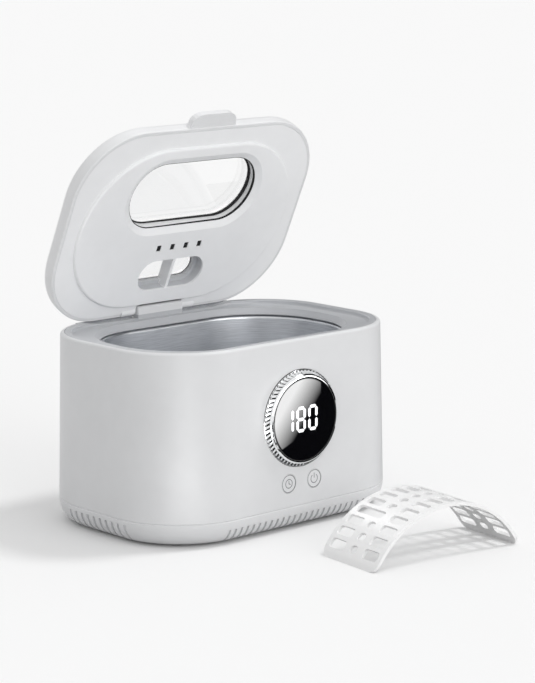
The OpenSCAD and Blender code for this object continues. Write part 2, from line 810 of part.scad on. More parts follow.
// Inner lining of the lid: flat border, raised panel, window surround, well and hinge knuckles
module lid_liner() {
    border_t = 1.8;
    edge = -cover_t - 0.1;
    lip = concat(
        [[-4.5, panel_z], [-1.6, panel_z]],
        arc([-1.6, panel_z + 1.6], [1.6, 1.6], -90, 0, 5),
        [[0, face_z + border_t], [-1.8, face_z + border_t],
         [-1.8, panel_z + 2.6], [-4.5, panel_z + border_t]]);
    flare = [[4, panel_z], [0, panel_z + 2], [0, pane_z], [1.8, pane_z], [1.8, panel_z + 2.9],
             [5.8, panel_z + border_t], [7, panel_z + border_t], [7, panel_z]];
    well = [[0, panel_z], [0, panel_z + 6], [-2.5, panel_z + 6], [-2.5, pane_z],
            [1.8, pane_z], [1.8, panel_z]];
    knuckle = concat(
        [[pin_y - 8, face_z], [pin_y - 2, face_z]],
        arc([pin_y, pin_z], [2.9, 2.9], -115, 90, 10),
        [[pin_y - 6, pin_z + 2.2], [pin_y - 8, face_z + border_t]]);
    color("gainsboro") opened() difference() {
        union() {
            difference() {
                lid_loop() polygon([[edge, face_z], [edge, face_z + border_t],
                                    [-30, face_z + border_t], [-30, face_z]]);
                panel_block(0.9, face_z - 1, face_z + 4);
            }
            translate([0, panel_y, 0]) loop(panel_w, panel_d, panel_d / 2) polygon(lip);
            difference() {
                panel_block(3, panel_z, panel_z + border_t);
                translate([0, window_y, 0])
                    slot_block(window_w + 12, window_d + 12, panel_z - 1, panel_z + 5);
                translate([0, well_y, 0]) slot_block(well_w + 1.8, well_d + 1.8, panel_z - 1, panel_z + 5);
            }
            translate([0, window_y, 0]) loop(window_w, window_d, window_d / 2) polygon(flare);
            translate([0, well_y, 0]) loop(well_w, well_d, well_d / 2) polygon(well);
            translate([-1, well_y - well_d / 2 - 0.5, panel_z + 0.5])
                cube([2, well_d + 1, pane_z - panel_z - 0.5]);
            for (x = [-knuckle_end, lug_w / 2 + 0.2])
                drawn_x(x, x + knuckle_end - lug_w / 2 - 0.2) polygon(knuckle);
        }
        for (i = [-1.5:1.5])
            translate([i * vent_step - vent.x / 2, vent_y - vent.y / 2, panel_z - 1])
                cube([vent.x, vent.y, 5]);
        translate([-lug_w / 2 - 0.5, pin_y - 6.4, face_z - 5]) cube([lug_w + 1, 20, 12]);
        along_x(-40, 40, pin_y, pin_z, pin_r + 0.05);
    }
}

// Clear pane of the window: a plug in the cover's opening and a flange under the cover
module window_pane() {
    color("lightcyan") opened() translate([0, window_y, 0]) {
        slot_block(window_w + 5, window_d + 5, pane_z, pane_z + 2);
        slot_block(window_w - 0.2, window_d - 0.2, pane_z + 1.9, cover_z - 0.1);
    }
}

// Small clear pane over the well near the hinge
module rear_pane() {
    color("lightcyan") opened() translate([0, well_y, 0]) {
        slot_block(well_w, well_d, pane_z, pane_z + 2);
        slot_block(well_w - 5.2, well_d - 5.2, pane_z + 1.9, cover_z - 0.1);
    }
}

// Places children on the basket's arch: arc length from the top, place across the width
module on_arch(along, across) {
    rotate([0, along / basket_r * 180 / PI, 0]) translate([0, across, basket_r]) children();
}

// One rounded hole through the arch
module arch_hole(along, across, w) {
    on_arch(along, across) translate([0, 0, -5]) linear_extrude(10)
        polygon(rounded(w > 8 ? 5.8 : 4.8, w, w > 8 ? 1.8 : 2.3, 4));
}

// Arched basket plate with rows of holes, standing on its two ends
module basket() {
    half_arc = basket_r * basket_half * PI / 180;
    end_spare = 3;
    corner_slip = [0.4, 0.05];
    corner = concat([[1, -7]], arc([-7, -7], [7, 7], 0, 90, 6), [[-7, 1], [1, 1]]);
    color("white") translate([basket_spot.x, basket_spot.y, basket_rise - basket_r])
        rotate([0, 0, basket_turn]) difference() {
            rotate([90, 0, 0]) rotate([0, 0, 90 - basket_half - end_spare])
                rotate_extrude(angle = 2 * (basket_half + end_spare))
                    translate([basket_r - basket_t, -basket_w / 2]) square([basket_t, basket_w]);
            translate([-100, -100, basket_r - basket_rise - 20]) cube([200, 200, 20]);
            for (i = [-6.5:6.5]) {
                arch_hole(i * row_step, -14.4, 12.8);
                if (i == long_row)
                    arch_hole(i * row_step, 9.5, 22.6);
                else {
                    arch_hole(i * row_step, 0.4, 6.2);
                    arch_hole(i * row_step, 14.4, 12.8);
                }
            }
            for (mx = [0, 1], my = [0, 1])
                mirror([mx, 0, 0]) mirror([0, my, 0])
                    on_arch(half_arc + corner_slip.x, basket_w / 2 + corner_slip.y)
                        translate([0, 0, -6]) linear_extrude(12) polygon(corner);
        }
}

outer_shell();
base_pan();
foot_ring();
base_screws();
deck_ring();
tank();
tank_gasket();
tank_screws();
horn_block();
piezo_rings();
electrode_plates();
back_mass();
transducer_bolt();
driver_board();
driver_screws();
transformer();
capacitors();
heat_sink();
power_inlet();
inlet_pins();
mains_leads();
transducer_leads();
display_ribbon();
control_board();
control_screws();
tact_switches();
display_module();
display_bezel();
display_lens();
digit_segments();
timer_button();
power_button();
hinge_pin();
lid_cover();
lid_liner();
window_pane();
rear_pane();
basket();
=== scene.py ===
"""Looks of an ultrasonic jewellery cleaner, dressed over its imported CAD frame. All lengths are in metres."""

import json
import math

import bmesh
import bpy
from mathutils import Matrix, Vector


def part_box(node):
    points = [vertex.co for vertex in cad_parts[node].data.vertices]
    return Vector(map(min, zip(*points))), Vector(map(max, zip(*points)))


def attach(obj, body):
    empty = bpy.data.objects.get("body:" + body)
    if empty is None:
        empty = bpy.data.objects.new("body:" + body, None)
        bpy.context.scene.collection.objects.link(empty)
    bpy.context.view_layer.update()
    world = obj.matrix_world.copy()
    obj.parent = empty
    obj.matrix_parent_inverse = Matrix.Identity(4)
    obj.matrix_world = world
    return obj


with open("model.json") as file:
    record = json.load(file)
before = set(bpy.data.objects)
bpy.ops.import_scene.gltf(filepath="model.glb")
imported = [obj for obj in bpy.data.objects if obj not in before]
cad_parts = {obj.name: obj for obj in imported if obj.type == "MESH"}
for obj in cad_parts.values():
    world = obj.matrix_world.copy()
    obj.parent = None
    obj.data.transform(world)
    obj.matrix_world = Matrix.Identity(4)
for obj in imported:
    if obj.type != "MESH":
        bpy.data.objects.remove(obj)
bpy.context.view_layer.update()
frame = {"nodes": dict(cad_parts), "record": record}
MM = 0.001

# Camera, as the photograph was taken: a frame of 535 by 683 pixels
FRAME_HEIGHT = 683
FOCAL_PIXELS = 2407
SENSOR = 36.0
CLIP_END = 200
CAMERA_AZIMUTH = math.radians(-42.287)
CAMERA_ELEVATION = math.radians(10.628)
CAMERA_ROLL = -0.002
CAMERA_DISTANCE = 1.3644
CAMERA_TARGET = Vector((-0.00418, -0.04353, 0.10642))
CAMERA_PLACE = CAMERA_TARGET + CAMERA_DISTANCE * Vector((
    math.sin(CAMERA_AZIMUTH) * math.cos(CAMERA_ELEVATION),
    -math.cos(CAMERA_AZIMUTH) * math.cos(CAMERA_ELEVATION),
    math.sin(CAMERA_ELEVATION)))

# Tones of the studio, as linear values, and the side of its floor
BACKGROUND = 0.94
AMBIENT = 0.72
FLOOR_WHITE = 0.938
FLOOR_BOUNCE = 0.60
FLOOR_SIDE = 120.0

# Lamps: the direction that each shines from, its strength and how many degrees it is across
KEY_LAMP = ((0.48, -0.20, 0.86), 0.82, 12)
FILL_LAMP = ((0.06, -0.99, 0.05), 1.42, 60)

# Cards above the floor that only mirrors see: the middle, the size and the turn in degrees of each
FRONT_FLAG = ((0.04, -0.24), (0.30, 0.26), 0)
SIDE_FLAG = ((0.30, 0.21), (0.40, 0.58), 0)
CORNER_STRIP = ((-0.25, -0.33), (0.10, 0.56), -32)
CORNER_GLOW = 7.0
CARD_LIFT = 3 * MM

# Upright card on the right: its middle, the point that it faces and its size
RIGHT_FLAG = ((0.45, 0.05, 0.28), (0, 0.05, 0.28), (1.0, 0.72))

# Board whose light the lens mirrors
LENS_RADIUS = 23.9 * MM
BOARD_DISTANCE = 12 * MM
LENS_GLARE = 11.0

# Soft light on that board: its level and slopes, and its soft edges, in radii of the lens
GLARE_LEVEL = 0.073
GLARE_UP = 0.853
GLARE_ACROSS = 1.002
UPRIGHT_EDGE = (0.515, 0.545)
SLANT = 0.383
SLANT_EDGE = (-0.375, -0.343)
SQUARED_RIM = (0.91, 0.97)

# Body: its plan at the seam, and the heights between which the lug rises out of the deck's rim
BODY_PLAN = (190 * MM, 131 * MM)
CORNER_RADIUS = 47.7 * MM
LUG_FOOT = (110.1 * MM, 110.6 * MM)

# Strip that closes the seam: how far inside the walls it starts and ends, and its heights
SEAM_INSETS = (0.45 * MM, 1.0 * MM)
SEAM_HEIGHTS = (13.9 * MM, 14.3 * MM)

# Rubber strips in the dip of the rear rim: where they start and end beside the lug, and their section
REAR_SEAL_SPAN = (17.4 * MM, 58.5 * MM)
REAR_SEAL_SECTION = [(y * MM, z * MM) for y, z in (
    (61.4, 108.0), (61.4, 109.1), (61.7, 109.4), (62.9, 109.7), (63.3, 109.5), (63.3, 108.0))]

# Lid: its pin and the angle at which it stands open at rest. Its other places are those of the closed lid
PIN = Vector((0, 61 * MM, 112.6 * MM))
LID_OPEN = math.radians(-65)

# Soft edges of the painted shade on the well's walls: from its rib to its ends, from front to back, and at its
# mouth
WELL_SIDES = ((1.2 * MM, 1.6 * MM), (25.2 * MM, 25.6 * MM))
WELL_DEPTHS = ((24.0 * MM, 24.4 * MM), (45.2 * MM, 45.6 * MM))
WELL_MOUTH = (109.0 * MM, 110.5 * MM)

# Window of the lid, with the heights of its pane and of its surround's mouth
WINDOW = (94 * MM, 43 * MM)
WINDOW_MIDDLE = (0, -19.5 * MM)
PANE_Z = 117.0 * MM
MOUTH_Z = 110.8 * MM

# Seals of the window: how far each reaches inward, and how its height grows towards the right end, where the
# growth paints the dark reflection in the thick pane's edge
SEAL_GAP = 0.02 * MM
SEAL_LEAST = 0.5 * MM
SEAL_CURVE = 1.5
PANE_SEAL_REACH = 0.9 * MM
PANE_SEAL_GROWTH = 1.3 * MM
MOUTH_SEAL_REACH = 0.5 * MM
MOUTH_SEAL_GROWTH = 1.0 * MM
BEAD_CUT = 0.3

# Slots of the lid, and the dark plugs in them and plate behind them that paint the shade inside the slots
SLOT_COUNT = 4
SLOT_STEP = 10.3 * MM
SLOT_Y = 15.8 * MM
PLUG_HALF = (1.5 * MM, 1.9 * MM)
PLUG_FACE = 109.0 * MM
PLATE_HALF = (20 * MM, 3.2 * MM)
PLATE_FACE = 110.45 * MM
PLATE_BACK = 111.2 * MM

# Ring of the display: its collar, the cuts round its cone, and the soft edges of the painted shade on it
BEZEL_COLLAR = 2.5 * MM
CUT_COUNT = 64
CUT_RADIUS = 26.6 * MM
CUT_MIDDLE = 2.35 * MM
CUT_SLANT = math.tan(math.radians(38))
CUT_FLANK = (-0.25, 0.35)
CUT_START = (1.3 * MM, 1.5 * MM)
CUT_END = (3.5 * MM, 3.9 * MM)
BEZEL_FOOT = (1.0 * MM, 1.2 * MM)
BEZEL_BRINK = (24.0 * MM, 24.2 * MM)

# Print on the buttons: the ink, the outline inside a face's edge, the clock's hands and the power sign
INK_PROUD = 0.02 * MM
INK_DEPTH = 0.06 * MM
INK_LINE = 0.38 * MM
FACE_INSET = 1.5 * MM
OUTLINE_INSETS = (0.62 * MM, 0.3 * MM)
OUTLINE_STEPS = 96
SIGN_RADIUS = 2.7 * MM
LONG_HAND = Vector((0, 1.45 * MM))
SHORT_HAND = Vector((1.05 * MM, -0.5 * MM))
POWER_ARC = (125, 415)
POWER_BAR = (0.5 * MM, 3.1 * MM)

# Detail of moulded plastic
PLASTIC_GRAIN = 0.35 * MM
GRAIN_DEPTH = 0.006 * MM
FLOW_MARKS = 40 * MM
WORN_PATCHES = 7 * MM

# Nodes with a finish of their own instead of their slot's
OWN_FINISH = {"lid_liner": "liner_white_painted_light"}
FINISHES = {}


class Flow:
    """A socket in a node tree. Arithmetic on it adds Math nodes, and node() adds any other node."""

    def __init__(self, tree, socket=None):
        self.tree = tree
        self.socket = socket

    def node(self, kind, settings=None, sockets=None, output=0):
        """Adds a node, sets its settings and then its sockets, and returns one of its outputs."""
        made = self.tree.nodes.new("ShaderNode" + kind)
        for name, value in (settings or {}).items():
            setattr(made, name, value)
        for name, value in (sockets or {}).items():
            if isinstance(value, Flow):
                self.tree.links.new(value.socket, made.inputs[name])
            else:
                made.inputs[name].default_value = value
        return Flow(self.tree, made.outputs[output] if len(made.outputs) else None)

    def maths(self, operation, first, second=0.0):
        return self.node("Math", {"operation": operation}, {0: first, 1: second})

    def __add__(self, other):
        return self.maths("ADD", self, other)

    def __sub__(self, other):
        return self.maths("SUBTRACT", self, other)

    def __rsub__(self, other):
        return self.maths("SUBTRACT", other, self)

    def __mul__(self, other):
        return self.maths("MULTIPLY", self, other)

    def __pow__(self, other):
        return self.maths("POWER", self, other)

    __radd__ = __add__
    __rmul__ = __mul__

    def axes(self):
        """The X, Y and Z of a vector."""
        parts = self.node("SeparateXYZ", None, {0: self}).socket.node
        return [Flow(self.tree, part) for part in parts.outputs]

    def clamped(self, low, high):
        """The value mapped from low..high to 0..1 with soft ends."""
        settings = {"interpolation_type": "SMOOTHSTEP", "clamp": True}
        return self.node("MapRange", settings, {"Value": self, "From Min": low, "From Max": high})

    def between(self, start, end):
        """1 between two soft edges, each given by two values, and 0 outside them."""
        return self.clamped(*start) * (1 - self.clamped(*end))

    def limited(self, low, high):
        """The value kept between two bounds."""
        return self.maths("MINIMUM", self.maths("MAXIMUM", self, low), high)

    def mixed(self, first, second):
        """A colour between two, by this value."""
        return self.node("Mix", {"data_type": "RGBA"}, {0: self, 6: first, 7: second}, 2)


def tint(colour, factor=1.0):
    """A colour with its alpha, made darker or lighter by a factor."""
    return (*(min(1.0, part * factor) for part in colour), 1.0)


def new_material(name):
    """A material with an empty tree, and a Flow to add nodes with."""
    material = bpy.data.materials.new(name)
    material.use_nodes = True
    material.node_tree.nodes.clear()
    return material, Flow(material.node_tree)


def output_surface(flow, surface):
    flow.node("OutputMaterial", None, {"Surface": surface})


def finish(name, look, **options):
    """Adds a finish: one shader, whose sockets the look works out."""
    material, flow = new_material(name)
    output_surface(flow, flow.node("BsdfPrincipled", None, look(flow, **options)))
    FINISHES[name] = material


def place(flow):
    """Coordinates in metres that stay with the piece."""
    return flow.node("TexCoord", None, None, "Object")


def noise(flow, size, detail, roughness=0.5, where=None):
    """Noise whose features are about size across."""
    sockets = {"Vector": where or place(flow), "Scale": 1.0 / size, "Detail": detail, "Roughness": roughness}
    return flow.node("TexNoise", None, sockets, "Fac")


def bump(flow, height, depth):
    """A normal that follows a height between 0 and 1, depth high."""
    return flow.node("Bump", None, {"Height": height, "Distance": depth, "Strength": 1.0})


def handling_haze(flow):
    """The faint patches that handling leaves on a mirror finish."""
    return noise(flow, 5 * MM, 4).clamped(0.45, 0.75)


def moulded(
        flow, colour, roughness=0.42, grain=PLASTIC_GRAIN, grain_depth=GRAIN_DEPTH, mottle=0.02, recess=None):
    """Satin moulded plastic: a fine eroded grain, faint flow marks and a slightly uneven gloss.

    recess is a colour of painted shade and a function that marks the recessed walls where it is painted.
    """
    fine = noise(flow, grain, 3)
    broad = noise(flow, FLOW_MARKS, 2)
    worn = noise(flow, WORN_PATCHES, 4)
    tone = (broad * 0.7 + worn * 0.3).clamped(0.3, 0.7)
    base = tone.mixed(tint(colour, 1 - mottle), tint(colour, 1 + mottle))
    if recess:
        recess_colour, marked = recess
        base = marked(flow).mixed(base, tint(recess_colour))
    return {
        "Base Color": base,
        "Roughness": roughness - 0.04 + worn * 0.06 + fine * 0.04,
        "IOR": 1.5,
        "Normal": bump(flow, fine, grain_depth),
    }


def lid_well(flow):
    """1 on the walls of the lid's small well, apart from its rib, where shade is painted."""
    turn = {"Vector": place(flow), "Center": PIN, "Angle": -LID_OPEN}
    x, y, z = flow.node("VectorRotate", {"rotation_type": "X_AXIS"}, turn).axes()
    aside = flow.maths("ABSOLUTE", x)
    return aside.between(*WELL_SIDES) * y.between(*WELL_DEPTHS) * z.clamped(*WELL_MOUTH)


def deck_plastic(flow, floor_colour, lug_colour):
    """Satin plastic of the deck with painted shade: its floor and rim are painted greyer than the lug, for the
    shade that falls on them.
    """
    on_lug = place(flow).axes()[2].clamped(*LUG_FOOT)
    fine = noise(flow, PLASTIC_GRAIN, 3)
    worn = noise(flow, WORN_PATCHES, 4)
    return {
        "Base Color": on_lug.mixed(tint(floor_colour), tint(lug_colour)),
        "Roughness": 0.3 + worn * 0.06 + fine * 0.04,
        "Normal": bump(flow, fine, GRAIN_DEPTH),
    }


def brushed(flow, colour, scales, roughness=0.3):
    """Brushed metal: long fine scratches that run where the scale is small."""
    stretched = flow.node("VectorMath", {"operation": "MULTIPLY"}, {0: place(flow), 1: scales})
    lines = noise(flow, 1.0, 3, 0.6, stretched)
    broad = noise(flow, 25 * MM, 2)
    tone = (lines * 0.75 + broad * 0.25).clamped(0.32, 0.68)
    return {
        "Base Color": tone.mixed(tint(colour, 0.84), tint(colour, 1.1)),
        "Metallic": 1.0,
        "Roughness": roughness - 0.06 + lines * 0.12 + broad * 0.05,
        "Normal": bump(flow, lines, 0.004 * MM),
    }


def polished(flow, colour, roughness):
    """Plated metal with a mirror finish and the faint haze of handling."""
    haze = handling_haze(flow)
    fine = noise(flow, 0.8 * MM, 2)
    return {
        "Base Color": haze.mixed(tint(colour), tint(colour, 0.94)),
        "Metallic": 1.0,
        "Roughness": roughness + haze * 0.04 + fine * 0.02,
        "Normal": bump(flow, fine, 0.0008 * MM),
    }


def toothed_chrome(flow, colour, cut_colour):
    """Plated ring of the display: mirror bright, with painted shade in the slanting cuts round its cone, at
    its foot and at its brink.
    """
    low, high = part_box("display_bezel")
    x, y, z = place(flow).axes()
    right = x - (low.x + high.x) / 2
    up = z - (low.z + high.z) / 2
    proud = high.y - BEZEL_COLLAR - y
    turn = flow.maths("ARCTAN2", up, right) + (proud - CUT_MIDDLE) * (CUT_SLANT / CUT_RADIUS)
    cut = flow.maths("COSINE", turn * CUT_COUNT).clamped(*CUT_FLANK) * proud.between(CUT_START, CUT_END)
    foot = 1 - proud.clamped(*BEZEL_FOOT)
    brink = 1 - ((right * right + up * up) ** 0.5).clamped(*BEZEL_BRINK)
    # Painted shade: the cuts, the foot and the brink are made dark and not metal
    dark = flow.maths("MAXIMUM", cut, flow.maths("MAXIMUM", foot, brink))
    return {
        "Base Color": dark.mixed(tint(colour), tint(cut_colour)),
        "Metallic": 1 - dark,
        "Specular IOR Level": 0.0,
        "Roughness": 0.05 + handling_haze(flow) * 0.04 + dark * 0.3,
    }


def smoked_lens(flow, colour, dust_colour):
    """Dark polished lens: near black, with a trace of dust."""
    dust = noise(flow, 1.2 * MM, 3).clamped(0.62, 0.8)
    broad = noise(flow, 12 * MM, 2)
    return {
        "Base Color": dust.mixed(tint(colour), tint(dust_colour)),
        "Roughness": 0.02 + dust * 0.04 + broad * 0.01,
        "IOR": 1.7,
    }


def lit_bar(flow, colour, dim, bright, strength):
    """A lamp bar behind its diffuser, which glows a little unevenly."""
    glow = noise(flow, 2.5 * MM, 1).clamped(0.2, 0.6)
    return {
        "Base Color": tint(colour),
        "Roughness": 0.3,
        "Emission Color": glow.mixed(tint(dim), tint(bright)),
        "Emission Strength": strength,
    }


def clear_pane(flow, colour, haze_colour):
    """Clear acrylic with polished faces."""
    haze = noise(flow, 9 * MM, 3).clamped(0.5, 0.8)
    return {
        "Base Color": haze.mixed(tint(colour), tint(haze_colour)),
        "Roughness": 0.004 + haze * 0.008,
        "IOR": 1.49,
        "Transmission Weight": 1.0,
    }


def soft_rubber(flow, colour):
    """Matt rubber with a fine open grain."""
    grain = noise(flow, 0.5 * MM, 4, 0.7)
    bloom = noise(flow, 6 * MM, 3).clamped(0.35, 0.75)
    return {
        "Base Color": bloom.mixed(tint(colour), tint(colour, 1.35)),
        "Roughness": 0.72 + grain * 0.2,
        "Normal": bump(flow, grain, 0.02 * MM),
    }


def circuit_board(flow, colour):
    """Lacquered board: copper runs show as paler lines under the lacquer."""
    sockets = {"Vector": place(flow), "Scale": 260.0, "Mortar Size": 0.06}
    runs = flow.node("TexBrick", {"offset": 0.5}, sockets, "Fac")
    broad = noise(flow, 8 * MM, 2)
    return {
        "Base Color": (runs * 0.6 + broad * 0.3).mixed(tint(colour, 0.8), tint(colour, 2.2)),
        "Roughness": 0.3 + broad * 0.1,
        "Coat Weight": 0.4,
        "Normal": bump(flow, runs, 0.03 * MM),
    }


def cast_grain(flow, colour):
    """Fired ceramic or ferrite: a dull, speckled and slightly pitted surface."""
    specks = noise(flow, 0.6 * MM, 4, 0.7)
    broad = noise(flow, 5 * MM, 3)
    return {
        "Base Color": (specks * 0.6 + broad * 0.4).mixed(tint(colour, 0.75), tint(colour, 1.25)),
        "Roughness": 0.6 + specks * 0.15,
        "Normal": bump(flow, specks, 0.03 * MM),
    }


def printed_ink(flow, colour):
    """Thin printed ink with slightly uneven cover."""
    cover = noise(flow, 0.4 * MM, 3)
    return {
        "Base Color": cover.mixed(tint(colour, 0.85), tint(colour, 1.15)),
        "Roughness": 0.5 + cover * 0.1,
    }


def make_finishes():
    """Every finish. Most carry the name of the record's material slot that they are for."""
    # Painted shade: a grey for the shade on the walls of the lid's well
    well = ((0.58, 0.59, 0.61), lid_well)
    finish("shell_white", moulded, colour=(0.74, 0.745, 0.755))
    finish("lid_white", moulded, colour=(0.80, 0.805, 0.815), roughness=0.38)
    # The liner's white is lighter than the shell's: partly the plastic's own, partly painted light on the
    # lid's inner face
    finish("liner_white_painted_light", moulded, colour=(0.93, 0.935, 0.945), roughness=0.38, recess=well)
    finish("basket_white", moulded, colour=(0.985, 0.985, 0.985), roughness=0.4, grain=0.5 * MM, mottle=0.01)
    finish("can_blue", moulded, colour=(0.03, 0.05, 0.16), roughness=0.3)
    finish("inlet_black", moulded, colour=(0.016, 0.016, 0.018), roughness=0.45, grain=0.4 * MM,
           grain_depth=0.01 * MM, mottle=0.1)
    finish("ribbon_grey", moulded, colour=(0.4, 0.44, 0.5), roughness=0.4)
    # The deck's floor colour is painted shade; the lug's colour is the plastic's own.
    finish("deck_grey", deck_plastic, floor_colour=(0.52, 0.53, 0.55), lug_colour=(0.76, 0.765, 0.775))

    finish("tank_steel", brushed, colour=(0.76, 0.775, 0.80), scales=(60, 60, 2600))
    finish("screw_steel", brushed, colour=(0.6, 0.61, 0.63), scales=(900, 900, 200), roughness=0.28)
    finish("horn_aluminium", brushed, colour=(0.74, 0.75, 0.76), scales=(80, 80, 3000))
    finish("mass_steel", brushed, colour=(0.42, 0.43, 0.45), scales=(80, 80, 3000), roughness=0.35)
    finish("sink_aluminium", brushed, colour=(0.6, 0.61, 0.62), scales=(3000, 200, 60), roughness=0.35)
    finish("contact_brass", polished, colour=(0.78, 0.6, 0.28), roughness=0.15)
    finish("bezel_chrome", toothed_chrome, colour=(0.86, 0.87, 0.88), cut_colour=(0.012, 0.012, 0.013))

    finish("lens_black", smoked_lens, colour=(0.003, 0.003, 0.004), dust_colour=(0.008, 0.008, 0.009))
    finish("digit_white", lit_bar, colour=(0.6, 0.6, 0.62), dim=(0.86, 0.88, 0.92), bright=(1, 1, 1),
           strength=0.85)
    finish("pane_clear", clear_pane, colour=(0.997, 0.999, 0.999), haze_colour=(0.985, 0.99, 0.992))

    finish("foot_rubber", soft_rubber, colour=(0.5, 0.505, 0.51))
    finish("gasket_rubber", soft_rubber, colour=(0.3, 0.31, 0.33))
    finish("seal_black", soft_rubber, colour=(0.008, 0.008, 0.009))
    finish("lead_red", soft_rubber, colour=(0.32, 0.03, 0.03))
    finish("lead_yellow", soft_rubber, colour=(0.5, 0.36, 0.03))

    finish("board_green", circuit_board, colour=(0.02, 0.12, 0.05))
    finish("piezo_ceramic", cast_grain, colour=(0.5, 0.47, 0.42))
    finish("ferrite_brown", cast_grain, colour=(0.1, 0.08, 0.07))
    finish("button_ink", printed_ink, colour=(0.12, 0.12, 0.13))


def dress_nodes():
    """Gives each CAD node its own finish, or else that of its material slot."""
    for part in frame["record"]["subparts"]:
        materials = frame["nodes"][part["node"]].data.materials
        materials.clear()
        materials.append(FINISHES[OWN_FINISH.get(part["node"], part["material_slot"])])


def add_object(name, data):
    """Links a new object that holds some data to the scene."""
    made = bpy.data.objects.new(name, data)
    bpy.context.scene.collection.objects.link(made)
    return made


def add_mesh(name, mesh, material):
    """Links a finished bmesh to the scene as an object of one material."""
    data = bpy.data.meshes.new(name)
    mesh.to_mesh(data)
    mesh.free()
    data.materials.append(material)
    return add_object(name, data)


def mesh_piece(name, mesh, body, finish_name):
    """Links a finished bmesh as a piece that rides on a body."""
    bmesh.ops.recalc_face_normals(mesh, faces=mesh.faces)
    piece = add_mesh(name, mesh, FINISHES[finish_name])
    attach(piece, body)


def loft(mesh, rows, closed):
    """Adds a skin over rows of corners. A closed one runs round to its start, another has end faces."""
    for i in range(0 if closed else 1, len(rows)):
        last, row = rows[i - 1], rows[i]
        for k in range(len(row)):
            mesh.faces.new((last[k - 1], last[k], row[k], row[k - 1]))
    if not closed:
        mesh.faces.new(rows[0])
        mesh.faces.new(rows[-1])


def flat_strip(mesh, heart, inner, outer, front, arc=(0, 360), steps=72):
    """Adds an arc of flat ink ring in the XZ plane, with its face at y = front."""
    start, end = arc
    whole = end - start == 360
    section = ((inner, front), (outer, front), (outer, front + INK_DEPTH), (inner, front + INK_DEPTH))
    rows = []
    for i in range(steps if whole else steps + 1):
        angle = math.radians(start + (end - start) * i / steps)
        across, up = math.cos(angle), math.sin(angle)
        rows.append([mesh.verts.new((heart.x + r * across, y, heart.y + r * up)) for r, y in section])
    loft(mesh, rows, whole)


def flat_bar(mesh, start, end, front, steps=6):
    """Adds a bar of ink with round ends in the XZ plane, from one point to the other."""
    along = end - start
    turn = math.atan2(along.y, along.x)
    outline = []
    for point, offset in ((end, -90), (start, 90)):
        for i in range(steps + 1):
            angle = turn + math.radians(offset + 180 * i / steps)
            outline.append(point + INK_LINE / 2 * Vector((math.cos(angle), math.sin(angle))))
    depths = (front, front + INK_DEPTH)
    loft(mesh, [[mesh.verts.new((spot.x, y, spot.y)) for spot in outline] for y in depths], False)


def button_print(node):
    """Starts a button's print with its outline, and gives the mesh, the face's middle and the ink's front."""
    low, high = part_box(node)
    middle = (low + high) / 2
    heart = Vector((middle.x, middle.z))
    front = low.y - INK_PROUD
    radius = (high.z - low.z) / 2 - FACE_INSET
    mesh = bmesh.new()
    inner, outer = (radius - inset for inset in OUTLINE_INSETS)
    flat_strip(mesh, heart, inner, outer, front, steps=OUTLINE_STEPS)
    return mesh, heart, front


def clock_sign():
    """Printed outline and clock sign of the timer button."""
    mesh, heart, front = button_print("timer_button")
    flat_strip(mesh, heart, SIGN_RADIUS - INK_LINE, SIGN_RADIUS, front)
    flat_bar(mesh, heart, heart + LONG_HAND, front)
    flat_bar(mesh, heart, heart + SHORT_HAND, front - INK_PROUD / 2)
    mesh_piece("timer_sign", mesh, "timer_button", "button_ink")


def power_sign():
    """Printed outline and power sign of the power button."""
    mesh, heart, front = button_print("power_button")
    flat_strip(mesh, heart, SIGN_RADIUS - INK_LINE, SIGN_RADIUS, front, POWER_ARC)
    foot, top = (heart + Vector((0, height)) for height in POWER_BAR)
    flat_bar(mesh, foot, top, front)
    mesh_piece("power_sign", mesh, "power_button", "button_ink")


def opened(mesh):
    """Turns a mesh that is built on the closed lid to where the lid stands at rest."""
    mesh.transform(Matrix.Translation(PIN) @ Matrix.Rotation(LID_OPEN, 4, "X") @ Matrix.Translation(-PIN))
    return mesh


def bead(inner, outer, low, high):
    """Section of a bead with its inner edges cut off."""
    cut = min(outer - inner, high - low) * BEAD_CUT
    return ((outer, low), (outer, high), (inner + cut, high),
            (inner, high - cut), (inner, low + cut), (inner + cut, low))


def window_ring(mesh, section, steps=24):
    """Adds a closed ring along the edge of the lid's window.

    section(side) lists offsets outward and heights. side runs from 0 at the left end to 1 at the right.
    """
    width, height = WINDOW
    half = (width - height) / 2
    rows = []
    for end in (1, -1):
        for i in range(steps + 1):
            angle = math.pi * (i / steps - 0.5)
            out = Vector((math.cos(angle), math.sin(angle))) * end
            side = 0.5 + (end * half + out.x * height / 2) / width
            rows.append([
                mesh.verts.new((
                    WINDOW_MIDDLE[0] + end * half + out.x * (height / 2 + offset),
                    WINDOW_MIDDLE[1] + out.y * (height / 2 + offset), z))
                for offset, z in section(side)])
    loft(mesh, rows, True)


def window_seals():
    """Two black seals of the window: one under the pane, one at the mouth of its surround. Their height
    growing towards the right end is a painted dark reflection in the thick pane's edge.
    """

    def under_pane(side):
        top = PANE_Z - SEAL_GAP
        height = SEAL_LEAST + PANE_SEAL_GROWTH * side ** SEAL_CURVE
        return bead(-PANE_SEAL_REACH, -SEAL_GAP, top - height, top)

    def at_mouth(side):
        height = SEAL_LEAST + MOUTH_SEAL_GROWTH * side ** SEAL_CURVE
        return bead(-MOUTH_SEAL_REACH, -SEAL_GAP, MOUTH_Z, MOUTH_Z + height)

    mesh = bmesh.new()
    window_ring(mesh, under_pane)
    window_ring(mesh, at_mouth)
    mesh_piece("window_seals", opened(mesh), "lid", "seal_black")


def corners(middle, half):
    """The four corners of a rectangle about its middle."""
    signs = ((-1, -1), (1, -1), (1, 1), (-1, 1))
    return [(middle[0] + x * half[0], middle[1] + y * half[1]) for x, y in signs]


def block(mesh, middle, half, low, high):
    """Adds a closed block on a rectangle, between two heights."""
    loft(mesh, [[mesh.verts.new((x, y, z)) for x, y in corners(middle, half)] for z in (low, high)], False)


